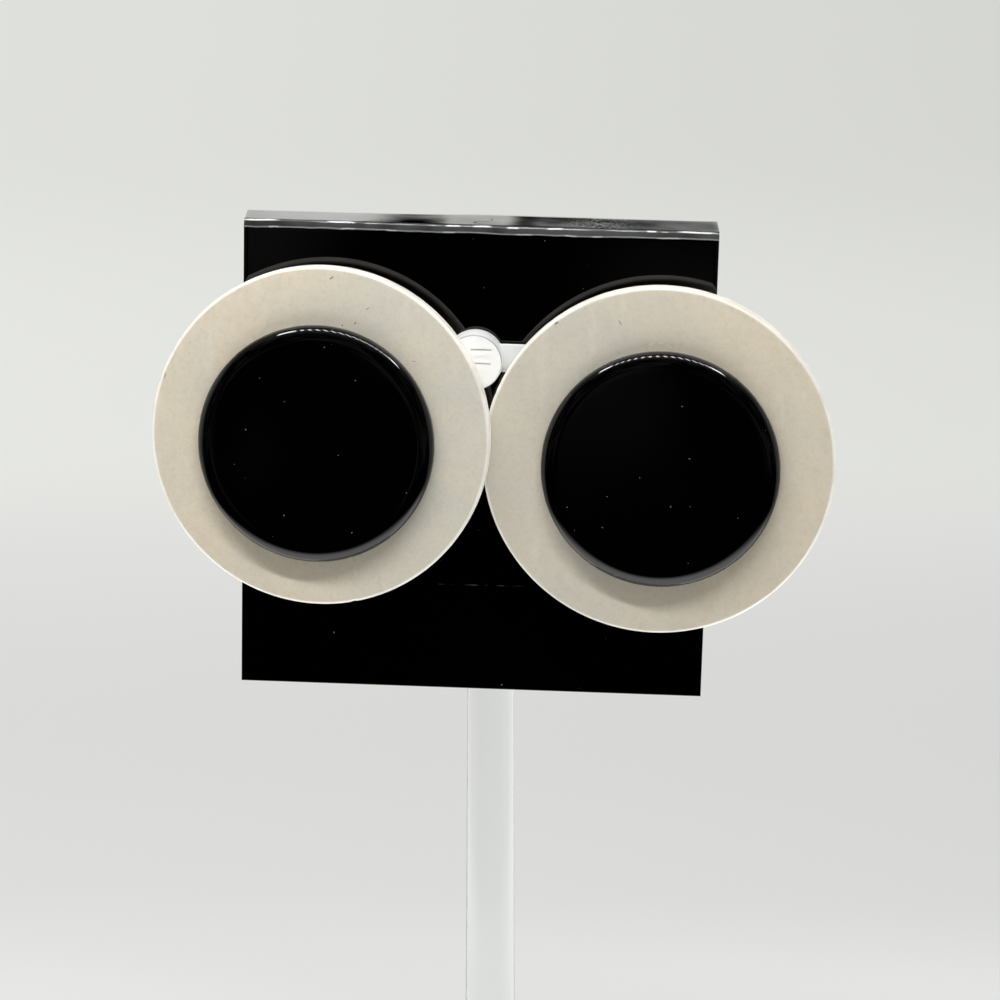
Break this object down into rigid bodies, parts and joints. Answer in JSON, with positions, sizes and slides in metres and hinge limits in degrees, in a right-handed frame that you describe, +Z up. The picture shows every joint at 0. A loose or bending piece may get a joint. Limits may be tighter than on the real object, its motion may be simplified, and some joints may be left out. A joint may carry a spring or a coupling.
{
  "type": "pair of clip-on disc earrings on a display card and stand",
  "caption": "Pair of round clip-on earrings, each a black disc on a larger cream disc, clipped to a glossy black display card with a folded lip that hangs on a clear stem and foot.",
  "frame": {"origin": "centre of the stand's foot, on its underside", "axes": "+Z up along the stem, the card and earrings face -Y, +X to the right as seen from the front"},
  "size_m": [0.0733, 0.06, 0.1156],
  "materials": {
    "cream_disc": "worn satin, fine specks",
    "black_disc": "polished",
    "black_card": "glossy, slightly wavy sheet",
    "white_nylon": "satin, slightly translucent",
    "clear_stand": "clear, polished",
    "clip_metal": "plated"
  },
  "bodies": {
    "root": {"stand_base": "clear_stand", "stand_stem": "clear_stand", "display_card": "black_card", "clip_bar": "white_nylon", "left_cream_disc": "cream_disc", "left_black_disc": "black_disc", "left_clip": "clip_metal", "right_cream_disc": "cream_disc", "right_black_disc": "black_disc", "right_clip": "clip_metal"}
  },
  "joints": []
}
